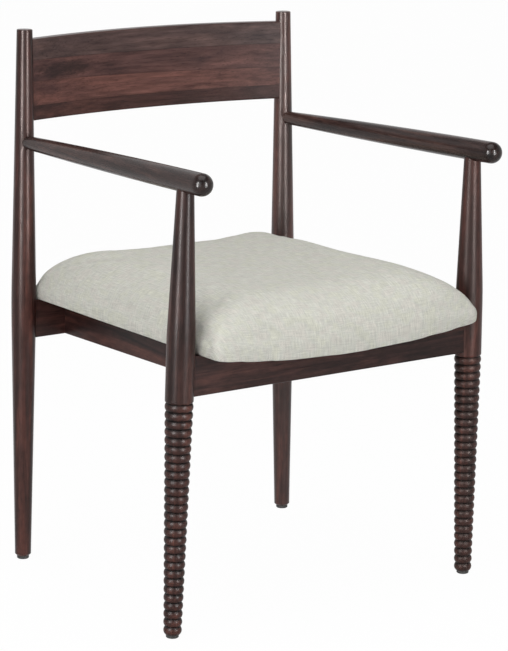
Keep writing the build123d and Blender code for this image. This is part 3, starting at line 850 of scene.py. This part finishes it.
def drawIn(piece, settings):
    # the lower edge is cloth over plywood and stands out a little; higher up the pad is eased and drawn in,
    # with a smooth start
    rounds, over = settings["easing"]
    gather(piece, "top", seatPlace(positions(piece.data), settings)[2] > over)
    remeshed(piece, "SMOOTH", factor=settings["ease"], iterations=rounds, vertex_group="top")
    piece.vertex_groups.clear()
    points, outward = positions(piece.data), positions(piece.data, "normal")
    lift = seatPlace(points, settings)[2]
    points[:, 2] += np.maximum(0, settings["lift"] - lift)
    inward, *drawn = settings["drawIn"]
    edge, *edged = settings["edge"]
    high = rising(lift, *drawn)
    low = rising(lift, *edged) * (outward[:, 2] > settings["under"])
    move = edge * low - inward * high**2 * (3 - 2 * high)
    moveTo(piece.data, points + outward * move[:, None])


def stuff(piece, settings):
    # cloth under pressure, held along its bottom; the farther a point moved, the more it is held back, so
    # that none goes beyond the cap: the move times the cap, over the cap and the move together
    before = positions(piece.data)
    gather(piece, "resting", seatPlace(before, settings)[2] < settings["held"])
    modifier = piece.modifiers.new("stuffing", "CLOTH")
    values = modifier.settings
    for key, value in stuffing.items():
        setattr(values, key, value)
    values.uniform_pressure_force = settings["pressure"]
    values.effector_weights.gravity = 0.0
    values.vertex_group_mass = "resting"
    for step in range(1, settings["steps"] + 1):
        scene.frame_set(step)
    swollen = piece.evaluated_get(bpy.context.evaluated_depsgraph_get()).to_mesh()
    move = positions(swollen) - before
    length = np.linalg.norm(move, axis=1, keepdims=True)
    move *= settings["most"] / (settings["most"] + length)
    piece.modifiers.clear()
    piece.vertex_groups.clear()
    scene.frame_set(1)
    moveTo(piece.data, before + move)
    print("cushion stuffed, longest move", round(float(length.max()) * 1000, 2), "mm before the cap")


def settle(piece, settings):
    # the top is eased, less towards the sides, where the cloth keeps what the stuffing gave it
    rounds, *eased = settings["settle"]
    before = positions(piece.data)
    weight = rising(seatPlace(before, settings)[2], *eased)[:, None]
    remeshed(piece, "SMOOTH", factor=settings["ease"], iterations=rounds)
    moveTo(piece.data, before + (positions(piece.data) - before) * weight)


def weaveMap(mesh, settings):
    # the map unrolls the cloth: across and back on the top, and on past the edges by the drop below the top
    points = positions(mesh)
    x, back, lift = seatPlace(points, settings)
    drop = np.maximum(0, settings["thickness"] - lift)
    half = halfWidth(back, settings)
    sideShare = np.clip((np.abs(x) - half + settings["shoulder"]) / settings["shoulder"], 0, 1)
    frontShare = np.clip((settings["front"] + settings["frontRoll"] - back) / settings["frontRoll"], 0, 1)
    rearShare = np.clip((back - settings["rear"] + settings["rearRoll"]) / settings["rearRoll"], 0, 1)
    across = x + np.sign(x) * drop * sideShare
    length = back + drop * (rearShare - frontShare)
    corner = np.empty(len(mesh.loops), np.int32)
    mesh.loops.foreach_get("vertex_index", corner)
    layer = mesh.uv_layers.new(name="weave")
    layer.uv.foreach_set("vector", np.stack([across, length], axis=-1)[corner].astype(np.float32).ravel())


def makeCushion(settings):
    piece = newPiece("seatCushion", *cushionSurface(settings))
    remeshed(piece, "REMESH", mode="VOXEL", voxel_size=settings["voxel"], use_smooth_shade=True)
    drawIn(piece, settings)
    stuff(piece, settings)
    settle(piece, settings)
    remeshed(piece, "SUBSURF", levels=1, render_levels=1)
    weaveMap(piece.data, settings)
    piece.data.shade_smooth()
    paint(piece, wovenCloth("seatCloth", cloth))
    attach(piece, "root")
    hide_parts("seat_cover", "seat_foam")
    print("cushion made,", len(piece.data.polygons), "faces")


makeCushion(cushion)


# Lining under the seat

lining = {
    "inset": 0.014,                   # from the edge of the seat
    "thickness": 0.0008,
    "sag": 0.0006,
    "open": (0.425, 0.178),           # room to sag between the rails: length and half width
    "corner": 0.023,
    "grid": (61, 49),                 # rows and columns
    "colours": ((0.35, (0.012, 0.012, 0.0125)), (0.7, (0.03, 0.03, 0.031))),   # between and along the fibres
    "roughness": (0.75, 0.92),
    "specular": 0.2,
    "fibres": 420.0,                  # waves per metre
    "dots": (480.0, 0.15),            # per metre, and how irregular
    "dotEdge": (0.1, 0.35),           # of the distance from a dot, for its lowest and highest
    "bump": (0.3, 0.0002),            # strength and depth
}


def liningFinish(settings):
    # spun-bonded cloth: a lattice of small pressed dots and a tangle of fibres
    finish, tree, shader = newFinish("liningCloth", **{"Specular IOR Level": settings["specular"]})
    place = add(tree, "ShaderNodeTexCoord").outputs["Object"]
    fibres = noise(tree, place, detail=4.0, roughness=0.7, distortion=0.8, scale=settings["fibres"])
    waves, irregular = settings["dots"]
    lattice = {"Vector": place, "Scale": waves, "Randomness": irregular}
    dots = add(tree, "ShaderNodeTexVoronoi", lattice).outputs["Distance"]
    colour = ramp(tree, fibres, settings["colours"])
    height = math(tree, "ADD", fibres, remap(tree, dots, *settings["dotEdge"], 0.0, 1.0))
    rough = remap(tree, fibres, *innerNoise, *settings["roughness"])
    feed(tree, shader, colour, rough, height, *settings["bump"])
    return finish


def makeLining(settings, seat):
    # a sheet that follows the hollow, narrower to the rear, with round corners; between the rails it sags a
    # little, by the product of two half sines
    rows, columns = settings["grid"]
    openLength, openHalf = settings["open"]
    front, rear = seat["front"] + settings["inset"], seat["rear"] - settings["inset"]
    back = (front + (rear - front) * (1 - np.cos(np.linspace(0, np.pi, rows))) / 2)[:, None]
    fromEnd = np.minimum(back - front, rear - back)
    half = halfWidth(back, seat) - settings["inset"] - cornerCut(fromEnd, settings["corner"])
    x = half * np.linspace(-1, 1, columns)[None, :]
    share = np.clip(back / openLength, 0, 1)
    sag = settings["sag"] * np.sin(np.pi * share) * np.cos(np.clip(x / openHalf, -1, 1) * np.pi / 2)
    up = hollow(x, seat) - settings["thickness"] / 2 - sag
    points = seatToRoom(x, back + 0 * x, up, seat).reshape(-1, 3)
    piece = newPiece("seatLining", points, gridFaces(rows, columns).tolist())
    remeshed(piece, "SOLIDIFY", thickness=settings["thickness"], offset=0.0)
    piece.data.shade_smooth()
    paint(piece, liningFinish(settings))
    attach(piece, "root")
    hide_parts("dust_cover")


makeLining(lining, cushion)
